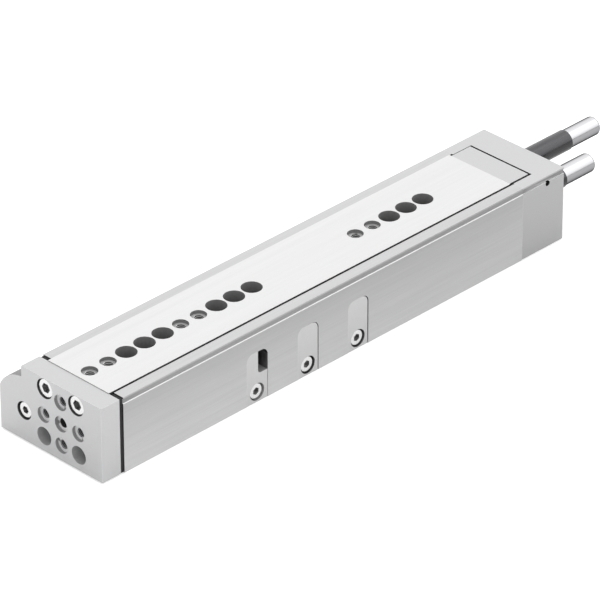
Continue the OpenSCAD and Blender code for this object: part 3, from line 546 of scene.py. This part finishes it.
def roundFaces(mesh):
    # faces by their neighbours: walls of bores, small sinks and thread holes, shelves, turned outer faces
    rules = roundRules
    edit = bmesh.new()
    edit.from_mesh(mesh)
    edit.faces.ensure_lookup_table()
    bend = [[e.calc_face_angle_signed(0.0) for e in f.edges] for f in edit.faces]
    smooth = [[rules["least"] < abs(a) < rules["most"] for a in angles] for angles in bend]

    def curves(f, way):
        return any(s and a * way > 0 for s, a in zip(smooth[f.index], bend[f.index]))

    wall = {f.index for f in edit.faces if curves(f, -1) and f.calc_area() < rules["wallArea"]}
    turned = {f.index for f in edit.faces if curves(f, 1)}

    def isShelf(f):
        if f.index in wall or f.calc_area() >= rules["shelfArea"] or len(f.edges) <= rules["shelfSides"]:
            return False
        walled = sum(any(n.index in wall for n in e.link_faces) for e in f.edges)
        deep = any(a < rules["shelfBend"] for a in bend[f.index])
        return walled > rules["shelfShare"] * len(f.edges) and deep

    def breadth(f):
        return f.calc_area() / max(e.calc_length() for e in f.edges)

    def spans(n, e):
        # the edge is as long as the face it borders
        return abs(breadth(n) * e.calc_length() / n.calc_area() - 1) < rules["slack"]

    shelf = {f.index for f in edit.faces if isShelf(f)}
    sink, thread = set(), set()
    for index in wall:
        f = edit.faces[index]
        flat = [n for e, a in zip(f.edges, bend[index]) if abs(a) < rules["level"]
                for n in e.link_faces if n is not f and spans(n, e)]
        steepest = max(-a for s, a in zip(smooth[index], bend[index]) if s and a < 0)
        radius = (breadth(f) + sum(breadth(n) for n in flat)) / steepest
        if radius < threadRadius:
            thread.add(index)
        elif radius < sinkRadius:
            sink.add(index)
    edit.free()
    wide = wall - sink - thread
    return {"wall": wide, "sink": sink, "thread": thread, "shelf": shelf, "turned": turned - wall}


def shadeHollows(mesh, body, bores=None):
    # for every face corner: how dark its painted shade is, from the share of the half ball above it that
    # solids block, and how dull; bores, turned faces and the ledge have set tones of painted shade, the
    # ledge's a painted highlight
    solids = solidsOf[body]
    values, least, dull = (np.zeros(len(mesh.loops)) for i in range(3))
    bores = bores or plainBore
    for kind, members in roundFaces(mesh).items():
        for index in members:
            face = mesh.polygons[index]
            start = face.center + face.normal * hollowLook["above"] * mm
            near = solids.ray_cast(start, face.normal, headGap)[0] is not None
            for loop in face.loop_indices:
                least[loop] = bores["thread"] if near else bores[kind]
                dull[loop] = 0.0 if near or kind in ("thread", "turned") else bores["dull"]
    right, top = max(v.co.x for v in mesh.vertices), max(v.co.z for v in mesh.vertices)
    for face in mesh.polygons:
        normal = face.normal
        outer = face.center.x > right - ledgeZone["inward"] * mm
        lower = face.center.z < top - ledgeZone["down"] * mm
        if "ledge" in bores and normal.z > levelFrom and outer and lower:
            for loop in face.loop_indices:
                least[loop], dull[loop] = bores["ledge"], ledgeZone["dull"]
            continue
        turn = normal.to_track_quat("Z", "Y")
        fan = [turn @ w for w in ways]
        free = hollowLook["openUp"] if normal.z > hollowLook["lookUp"] else hollowLook["openSide"]
        gain = hollowLook["gain"] if normal.z < hollowLook["lookUp"] and bores is not plainBore else 1.0
        inset = hollowLook["smallInset"] if face.area < hollowLook["smallFace"] else hollowLook["inset"]
        for loop in face.loop_indices:
            if dull[loop] > 0:
                continue
            corner = mesh.vertices[mesh.loops[loop].vertex_index].co
            start = corner.lerp(face.center, inset) + normal * hollowLook["above"] * mm
            hits = sum(solids.ray_cast(start, way, hollowLook["reach"])[0] is not None for way in fan)
            values[loop] = (hits / len(fan) - free) / (1 - free) * gain
    values = np.minimum(np.maximum(np.clip(values, 0, 1), least), bores.get("most", 1.0))
    # dull faces keep exactly their set tone, and the other shaded faces may be dulled too
    values = np.where(dull > 0, least, values)
    dull = np.where((dull == 0) & (values > flatFrom), bores.get("flat", 0.0), dull)
    for name, numbers in (("paintedShade", values), ("dull", dull)):
        layer = mesh.attributes.new(name, "FLOAT", "CORNER")
        layer.data.foreach_set("value", numbers)


finishOf = dict(slotOf, end_cap="cap_aluminium")

# width of the broken edge in millimetres
edgeWidths = {
    "housing": 0.09, "front_wiper": 0.1, "end_cap": 0.09, "yoke_plate": 0.14,
    "slide_table": 0.07, "slide_end_plate": 0.07,
    "stop_insert": 0.15, "middle_cover": 0.15, "rear_cover": 0.15,
    "retract_sleeve": 0.35, "advance_sleeve": 0.35, "retract_absorber": 0.3, "advance_absorber": 0.3,
}
sharpAngle = math.radians(32)
# long faces are cut this often, so that their shade stays local: pieces past each length, in metres
sliceSteps = {0.1: 0.012, 0.03: 0.003}
sliceShift = 0.0137  # keeps the cuts off the part's own edges, in millimetres
mergeDistance, cutDistance = 1e-7, 1e-8
flatAngle = math.radians(0.3)  # faces that differ by less are joined
flatWeight = 100  # large faces set the normals


def addEdge(piece, width, method="ANGLE", segments=2):
    bevel = piece.modifiers.new("brokenEdge", "BEVEL")
    bevel.width = width * mm
    bevel.segments = segments
    bevel.limit_method = method
    bevel.angle_limit = sharpAngle
    flat = piece.modifiers.new("flatFaces", "WEIGHTED_NORMAL")
    flat.mode = "FACE_AREA"
    flat.weight = flatWeight
    flat.keep_sharp = True


def finishPiece(piece, nodeName, stands=True):
    # the piece rides with the node's body and takes its finish, and may stand in its place
    piece.data.materials.clear()
    piece.data.materials.append(materials[finishOf[nodeName]])
    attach(piece, bodyOf[nodeName])
    if stands:
        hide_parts(nodeName)


def mergedMesh(nodeName):
    mesh = nodes[nodeName].data.copy()
    edit = bmesh.new()
    edit.from_mesh(mesh)
    bmesh.ops.remove_doubles(edit, verts=edit.verts, dist=mergeDistance)
    bmesh.ops.dissolve_limit(edit, angle_limit=flatAngle, verts=edit.verts, edges=edit.edges)
    low, high = (v.y for v in map(Vector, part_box(nodeName)))
    step = next((step for length, step in sliceSteps.items() if high - low > length), high - low)
    cuts = max(0, int((high - low) / step) - 1)
    for i in range(cuts):
        place = Vector((0, low + (high - low) * (i + 1) / (cuts + 1) + sliceShift * mm, 0))
        everything = edit.verts[:] + edit.edges[:] + edit.faces[:]
        bmesh.ops.bisect_plane(edit, geom=everything, dist=cutDistance, plane_co=place, plane_no=(0, 1, 0))
    edit.to_mesh(mesh)
    edit.free()
    return mesh


ledgeBevel = 0.24  # the groove's lower edge has a wider bevel of its own, in millimetres
outerSlack, topSlack = 1e-5, 1e-4  # how near the side that edge lies, and how far below the top at least


def breakLedge(piece):
    edit = bmesh.new()
    edit.from_mesh(piece.data)
    weight = edit.edges.layers.float.new("bevel_weight_edge")
    right, top = max(v.co.x for v in edit.verts), max(v.co.z for v in edit.verts)
    for edge in edit.edges:
        outer = all(v.co.x > right - outerSlack and v.co.z < top - topSlack for v in edge.verts)
        if outer and any(f.normal.z > levelFrom for f in edge.link_faces):
            edge[weight] = 1.0
    edit.to_mesh(piece.data)
    edit.free()
    bevel = piece.modifiers.new("ledgeBevel", "BEVEL")
    bevel.width = ledgeBevel * mm
    bevel.segments = 1
    bevel.limit_method = "WEIGHT"


def softCopy(nodeName, width):
    mesh = mergedMesh(nodeName)
    mesh.polygons.foreach_set("use_smooth", [True] * len(mesh.polygons))
    shadeHollows(mesh, bodyOf[nodeName], paintedBoreShade.get(nodeName))
    piece = bpy.data.objects.new(nodeName + "_soft", mesh)
    bpy.context.scene.collection.objects.link(piece)
    if "ledge" in paintedBoreShade.get(nodeName, {}):
        breakLedge(piece)
    addEdge(piece, width)
    finishPiece(piece, nodeName)


for nodeName, width in edgeWidths.items():
    softCopy(nodeName, width)
print("soft copies made:", len(edgeWidths))


# sides of a screw's head and shank and of the key that fits it, and of one turn of a thread and its ridge
sides = {"head": 56, "shank": 40, "key": 6, "turn": 28, "ridge": 4}


def newNodeTree(name, takes):
    # a geometry tree with named inputs
    tree = bpy.data.node_groups.new(name, "GeometryNodeTree")
    for label, kind, value in [("Geometry", "Geometry", None)] + takes:
        addSocket(tree, label, kind, value, "INPUT")
    addSocket(tree, "Geometry", "Geometry", None, "OUTPUT")
    return tree, tree.nodes.new("NodeGroupInput").outputs, tree.nodes.new("NodeGroupOutput").inputs


def setOn(tree, shape, places, finish, gives):
    # one shape on every point, turned so that its Z follows the point's aim
    new, link = tree.nodes.new, tree.links.new
    aim = new("GeometryNodeInputNamedAttribute")
    aim.data_type = "FLOAT_VECTOR"
    aim.inputs["Name"].default_value = "aim"
    turn = new("FunctionNodeAlignRotationToVector")
    link(aim.outputs["Attribute"], turn.inputs["Vector"])
    each = new("GeometryNodeInstanceOnPoints")
    link(places, each.inputs["Points"])
    link(shape, each.inputs["Instance"])
    link(turn.outputs["Rotation"], each.inputs["Rotation"])
    real = new("GeometryNodeRealizeInstances")
    link(each.outputs["Instances"], real.inputs["Geometry"])
    coat = new("GeometryNodeSetMaterial")
    link(real.outputs["Geometry"], coat.inputs["Geometry"])
    link(finish, coat.inputs["Material"])
    link(coat.outputs["Geometry"], gives["Geometry"])


def roundBar(tree, count, radius, length, top):
    # a closed bar along Z whose upper end is at the given height
    new, link = tree.nodes.new, tree.links.new
    bar, move = new("GeometryNodeMeshCylinder"), new("GeometryNodeTransform")
    bar.inputs["Vertices"].default_value = count
    link(radius, bar.inputs["Radius"])
    link(length, bar.inputs["Depth"])
    middle = new("ShaderNodeCombineXYZ")
    link(mathNode(tree, "MULTIPLY_ADD", length, -0.5, top), middle.inputs["Z"])
    link(bar.outputs["Mesh"], move.inputs["Geometry"])
    link(middle.outputs["Vector"], move.inputs["Translation"])
    return move.outputs["Geometry"]


def makeScrewTree():
    tree, takes, gives = newNodeTree("socketScrew", [
        ("Head Radius", "Float", 0.004), ("Head Height", "Float", 0.004), ("Shank Radius", "Float", 0.002),
        ("Length", "Float", 0.012), ("Socket Radius", "Float", 0.002), ("Socket Depth", "Float", 0.002),
        ("Finish", "Material", None)])
    new, link = tree.nodes.new, tree.links.new
    head = roundBar(tree, sides["head"], takes["Head Radius"], takes["Head Height"], 0.0)
    shankTop = mathNode(tree, "MULTIPLY", takes["Head Height"], -0.5)
    shankLength = mathNode(tree, "ADD", takes["Length"], shankTop)
    shank = roundBar(tree, sides["shank"], takes["Shank Radius"], shankLength, shankTop)
    both = new("GeometryNodeMeshBoolean")
    both.operation = "UNION"
    link(head, both.inputs["Mesh 2"])
    link(shank, both.inputs["Mesh 2"])
    twice = mathNode(tree, "MULTIPLY", takes["Socket Depth"], 2.0)
    key = roundBar(tree, sides["key"], takes["Socket Radius"], twice, takes["Socket Depth"])
    cut = new("GeometryNodeMeshBoolean")
    cut.operation = "DIFFERENCE"
    link(both.outputs["Mesh"], cut.inputs["Mesh 1"])
    link(key, cut.inputs["Mesh 2"])
    setOn(tree, cut.outputs["Mesh"], takes["Geometry"], takes["Finish"], gives)
    return tree


def makeThreadTree():
    # a helical ridge that starts at each point and runs along its aim
    tree, takes, gives = newNodeTree("threadRidge", [
        ("Hole Radius", "Float", 0.0021), ("Pitch", "Float", 0.0008), ("Turns", "Float", 7.0),
        ("Ridge", "Float", 0.0003), ("Finish", "Material", None)])
    new, link = tree.nodes.new, tree.links.new
    spiral = new("GeometryNodeCurveSpiral")
    spiral.inputs["Resolution"].default_value = sides["turn"]
    link(takes["Turns"], spiral.inputs["Rotations"])
    link(takes["Hole Radius"], spiral.inputs["Start Radius"])
    link(takes["Hole Radius"], spiral.inputs["End Radius"])
    link(mathNode(tree, "MULTIPLY", takes["Turns"], takes["Pitch"]), spiral.inputs["Height"])
    profile = new("GeometryNodeCurvePrimitiveCircle")
    profile.inputs["Resolution"].default_value = sides["ridge"]
    link(takes["Ridge"], profile.inputs["Radius"])
    sweep = new("GeometryNodeCurveToMesh")
    link(spiral.outputs["Curve"], sweep.inputs["Curve"])
    link(profile.outputs["Curve"], sweep.inputs["Profile Curve"])
    sweep.inputs["Fill Caps"].default_value = True
    setOn(tree, sweep.outputs["Mesh"], takes["Geometry"], takes["Finish"], gives)
    return tree


screwTree, threadTree = makeScrewTree(), makeThreadTree()


def fromNodes(name, tree, places, inputs):
    # places: point and aim; the result is a plain mesh and the modifier is gone
    mesh = bpy.data.meshes.new(name + "Points")
    mesh.from_pydata([tuple(point) for point, aim in places], [], [])
    layer = mesh.attributes.new("aim", "FLOAT_VECTOR", "POINT")
    layer.data.foreach_set("vector", [c for point, aim in places for c in aim])
    piece = bpy.data.objects.new(name, mesh)
    bpy.context.scene.collection.objects.link(piece)
    modifier = piece.modifiers.new("maker", "NODES")
    modifier.node_group = tree
    sockets = {s.name: s.identifier for s in tree.interface.items_tree if s.in_out == "INPUT"}
    for label, value in inputs.items():
        modifier[sockets[label]] = value
    depsgraph = bpy.context.evaluated_depsgraph_get()
    result = bpy.data.meshes.new_from_object(piece.evaluated_get(depsgraph))
    piece.modifiers.clear()
    piece.data = result
    bpy.data.meshes.remove(mesh)
    edit = bmesh.new()
    edit.from_mesh(result)
    bmesh.ops.remove_doubles(edit, verts=edit.verts, dist=mergeDistance)
    bmesh.ops.recalc_face_normals(edit, faces=edit.faces)
    edit.to_mesh(result)
    edit.free()
    result.polygons.foreach_set("use_smooth", [True] * len(result.polygons))
    return piece


def looseSolids(nodeName):
    # the node's solids as arrays of corners, in the order of their lowest corners
    edit = bmesh.new()
    edit.from_mesh(nodes[nodeName].data)
    bmesh.ops.remove_doubles(edit, verts=edit.verts, dist=mergeDistance)
    left, found = set(edit.verts), []
    while left:
        stack, solid = [left.pop()], []
        while stack:
            vert = stack.pop()
            solid.append(tuple(vert.co))
            for edge in vert.link_edges:
                other = edge.other_vert(vert)
                if other in left:
                    left.remove(other)
                    stack.append(other)
        found.append(np.array(solid))
    edit.free()
    return sorted(found, key=lambda solid: tuple(solid.min(0)))


# shares of the head's radius and height that tell a screw's rim, inside, socket and shank apart
screwRules = {"rim": 0.93, "inside": 0.9, "socket": 0.02, "below": 1.02, "within": 0.98}
faceSlack = 1e-6  # how near a screw's end face a corner counts as on it


def readScrew(points):
    # a screw's place, aim and sizes, read from its solid in the frame
    rules = screwRules
    low, high = points.min(0), points.max(0)
    axis = int(np.argmax(high - low))
    across = [i for i in range(3) if i != axis]
    middle = (low + high) / 2
    radius = np.hypot(*(points[:, i] - middle[i] for i in across))
    along = points[:, axis]
    head = along[radius > rules["rim"] * radius.max()]
    upward = abs(head.max() - high[axis]) < abs(head.min() - low[axis])
    face = high[axis] if upward else low[axis]
    inner = radius < rules["inside"] * radius.max()
    onFace = np.abs(along - face) < faceSlack
    socket = radius[onFace & inner].max()
    onSocket = np.abs(radius - socket) < rules["socket"] * socket
    depth = np.abs(along - face)
    headHeight = head.max() - head.min()
    point, aim = middle.copy(), np.zeros(3)
    point[axis], aim[axis] = face, (1.0 if upward else -1.0)
    return {"point": point, "aim": aim, "Head Radius": float(radius.max()), "Head Height": float(headHeight),
            "Shank Radius": float(radius[depth > headHeight * rules["below"]].max()),
            "Length": float(high[axis] - low[axis]), "Socket Radius": float(socket),
            "Socket Depth": float(depth[onSocket & (depth < headHeight * rules["within"])].max())}


# width of a screw head's rounded rim in millimetres
screwRims = {"yoke_screws": 0.5, "rod_screw": 0.42, "end_plate_screws": 0.4, "insert_screws": 0.4,
             "end_cap_screws": 0.4, "wiper_screws": 0.15}
innerEdge = 0.2  # the other edges' width as a share of the rim's
rimShare = 0.97  # the rim lies beyond this share of the head's radius


def weighEdges(mesh, screws):
    # the rim of each head is rounded fully, its other sharp edges only a little
    edit = bmesh.new()
    edit.from_mesh(mesh)
    layers = edit.edges.layers.float
    weight = layers.get("bevel_weight_edge") or layers.new("bevel_weight_edge")
    spots = [(Vector(s["point"]), Vector(s["aim"]), s["Head Radius"]) for s in screws]
    for edge in edit.edges:
        if edge.calc_face_angle(0.0) < sharpAngle:
            continue
        point, aim, radius = min(spots, key=lambda spot: (edge.verts[0].co - spot[0]).length)
        offsets = [v.co - point for v in edge.verts]
        onFace = all(abs(o.dot(aim)) < faceSlack for o in offsets)
        onRim = onFace and all((o - aim * o.dot(aim)).length > rimShare * radius for o in offsets)
        edge[weight] = 1.0 if onRim else innerEdge
    edit.to_mesh(mesh)
    edit.free()


def makeScrews(nodeName, rim):
    screws = [readScrew(solid) for solid in looseSolids(nodeName)]
    sizes = {k: v for k, v in screws[0].items() if k not in ("point", "aim")}
    places = [(s["point"], s["aim"]) for s in screws]
    finish = materials[slotOf[nodeName]]
    piece = fromNodes(nodeName + "_turned", screwTree, places, {**sizes, "Finish": finish})
    shadeHollows(piece.data, bodyOf[nodeName])
    weighEdges(piece.data, screws)
    addEdge(piece, rim, "WEIGHT", 3)
    finishPiece(piece, nodeName)


for nodeName, rim in screwRims.items():
    makeScrews(nodeName, rim)
print("screws made:", len(screwRims), "groups")

# pitch, ridge and the usual hole radius in millimetres, and the darkest shade in the threads
threads = {"pitch": 0.8, "ridge": 0.28, "turns": 7, "holeRadius": 2.1, "shade": 0.6}


def patternPoints(mount):
    # the hole centres of a bolt pattern or a single hole
    middle, dims = Vector(mount["pos_m"]), mount["dims"]
    if "pcd_mm" in dims:
        r = dims["pcd_mm"] / 2 * mm
        return [middle + Vector(v) * r for v in ((1, 0, 0), (-1, 0, 0), (0, 0, 1), (0, 0, -1))]
    xs = [-0.5, 0.5] if "spacing_x_mm" in dims else [0]
    ys = [-0.5, 0.5] if "spacing_y_mm" in dims else [0]
    return [middle + Vector((x * dims.get("spacing_x_mm", 0), y * dims.get("spacing_y_mm", 0), 0)) * mm
            for x in xs for y in ys]


threadedMounts = {
    "slideThreads": ("slide_table", ["slide_threads_front", "slide_threads_middle", "slide_threads_rear"]),
    "yokeThreads": ("yoke_plate", ["yoke_threads", "yoke_centre_thread"]),
    "housingThreads": ("housing", ["base_threads"]),
}

for name, (carrier, mountNames) in threadedMounts.items():
    places = [(p, -Vector(mounts[m]["axis"])) for m in mountNames for p in patternPoints(mounts[m])]
    radius = mounts[mountNames[0]]["dims"].get("hole_r_mm", threads["holeRadius"]) * mm
    piece = fromNodes(name, threadTree, places, {
        "Hole Radius": radius, "Pitch": threads["pitch"] * mm, "Turns": float(threads["turns"]),
        "Ridge": threads["ridge"] * mm, "Finish": materials[finishOf[carrier]]})
    shadeHollows(piece.data, bodyOf[carrier], {**plainBore, "most": threads["shade"]})
    finishPiece(piece, carrier, stands=False)
print("threads made:", len(threadedMounts), "groups")
